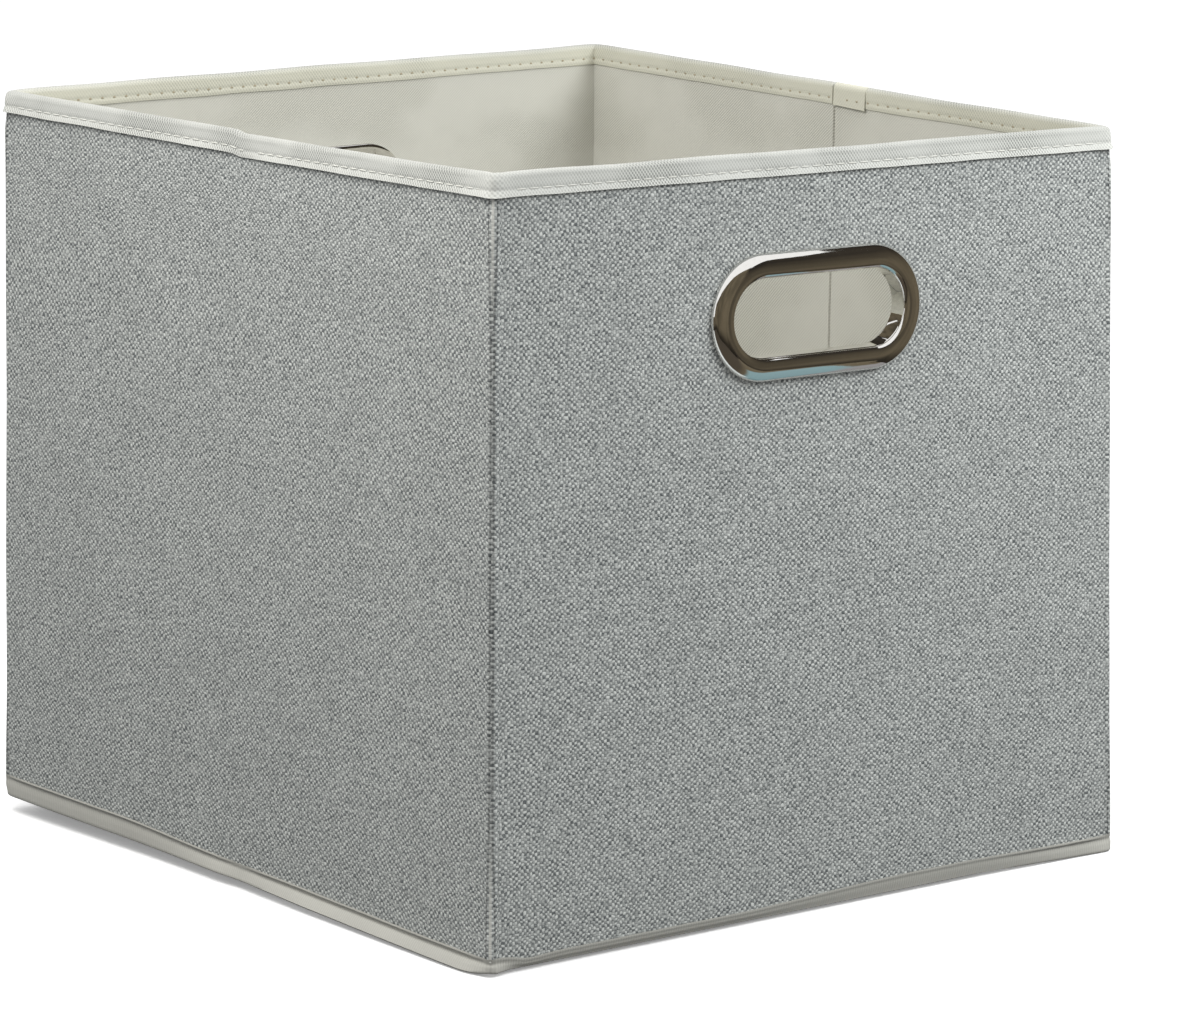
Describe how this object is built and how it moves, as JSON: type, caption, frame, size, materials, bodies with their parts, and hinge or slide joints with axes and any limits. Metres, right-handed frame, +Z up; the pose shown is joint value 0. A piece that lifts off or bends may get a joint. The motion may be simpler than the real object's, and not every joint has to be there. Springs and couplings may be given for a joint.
{
  "type": "fabric storage bin",
  "caption": "Open-topped square storage bin of woven cloth over board, with bound rim and hem, chromed oblong hand grips, a loose base insert and side walls that fold inwards.",
  "frame": {"origin": "centre of the footprint, on the surface that the open bin stands on", "axes": "+Z up; +X to the right along the front wall, which carries a hand grip; -Y out of that wall"},
  "size_m": [0.315, 0.3206, 0.305],
  "materials": {
    "woven_cloth": "grey linen-look plain weave, matt",
    "nonwoven_lining": "cream spunbond nonwoven with small embossed dashes, matt",
    "binding_tape": "off-white nonwoven tape, stitched, matt",
    "greyboard": "pressed grey paperboard, matt",
    "chrome": "bright chromed pressed sheet"
  },
  "bodies": {
    "front_wall": {"front_outer_cloth": "woven_cloth", "front_board": "greyboard", "front_lining": "nonwoven_lining", "front_rim_binding": "binding_tape", "front_hem_binding": "binding_tape", "front_grip_bezel": "chrome", "front_grip_ring": "chrome", "bottom_cloth": "nonwoven_lining"},
    "rear_wall": {"rear_outer_cloth": "woven_cloth", "rear_board": "greyboard", "rear_lining": "nonwoven_lining", "rear_rim_binding": "binding_tape", "rear_hem_binding": "binding_tape", "rear_grip_bezel": "chrome", "rear_grip_ring": "chrome"},
    "left_front_half": {"left_front_outer_cloth": "woven_cloth", "left_front_board": "greyboard", "left_front_lining": "nonwoven_lining", "left_front_rim_binding": "binding_tape", "left_front_hem_binding": "binding_tape"},
    "left_rear_half": {"left_rear_outer_cloth": "woven_cloth", "left_rear_board": "greyboard", "left_rear_lining": "nonwoven_lining", "left_rear_rim_binding": "binding_tape", "left_rear_hem_binding": "binding_tape"},
    "right_front_half": {"right_front_outer_cloth": "woven_cloth", "right_front_board": "greyboard", "right_front_lining": "nonwoven_lining", "right_front_rim_binding": "binding_tape", "right_front_hem_binding": "binding_tape", "rim_binding_lap": "binding_tape"},
    "right_rear_half": {"right_rear_outer_cloth": "woven_cloth", "right_rear_board": "greyboard", "right_rear_lining": "nonwoven_lining", "right_rear_rim_binding": "binding_tape", "right_rear_hem_binding": "binding_tape"},
    "base_insert": {"insert_board": "greyboard", "insert_top_cover": "nonwoven_lining", "insert_bottom_cover": "nonwoven_lining"}
  },
  "joints": [
    {"name": "fold_left_front", "type": "hinge", "parent": "front_wall", "child": "left_front_half", "pos_m": [-0.1529, -0.1529, 0.1525], "axis": [0, 0, -1], "range_deg": [0, 88]},
    {"name": "fold_left_middle", "type": "hinge", "parent": "left_front_half", "child": "left_rear_half", "pos_m": [-0.1575, 0, 0.1525], "axis": [0, 0, 1], "range_deg": [0, 176]},
    {"name": "fold_left_rear", "type": "hinge", "parent": "left_rear_half", "child": "rear_wall", "pos_m": [-0.1529, 0.1529, 0.1525], "axis": [0, 0, -1], "range_deg": [0, 88]},
    {"name": "fold_right_front", "type": "hinge", "parent": "front_wall", "child": "right_front_half", "pos_m": [0.1529, -0.1529, 0.1525], "axis": [0, 0, 1], "range_deg": [0, 88]},
    {"name": "fold_right_middle", "type": "hinge", "parent": "right_front_half", "child": "right_rear_half", "pos_m": [0.1575, 0, 0.1525], "axis": [0, 0, -1], "range_deg": [0, 176]},
    {"name": "insert_lift", "type": "slide", "parent": "front_wall", "child": "base_insert", "axis": [0, 0, 1], "range_m": [0, 0.33]}
  ],
  "couplings": [
    {"joint": "fold_left_middle", "follows": "fold_left_front", "ratio": 2},
    {"joint": "fold_left_rear", "follows": "fold_left_front", "ratio": 1},
    {"joint": "fold_right_front", "follows": "fold_left_front", "ratio": 1},
    {"joint": "fold_right_middle", "follows": "fold_left_front", "ratio": 2}
  ]
}
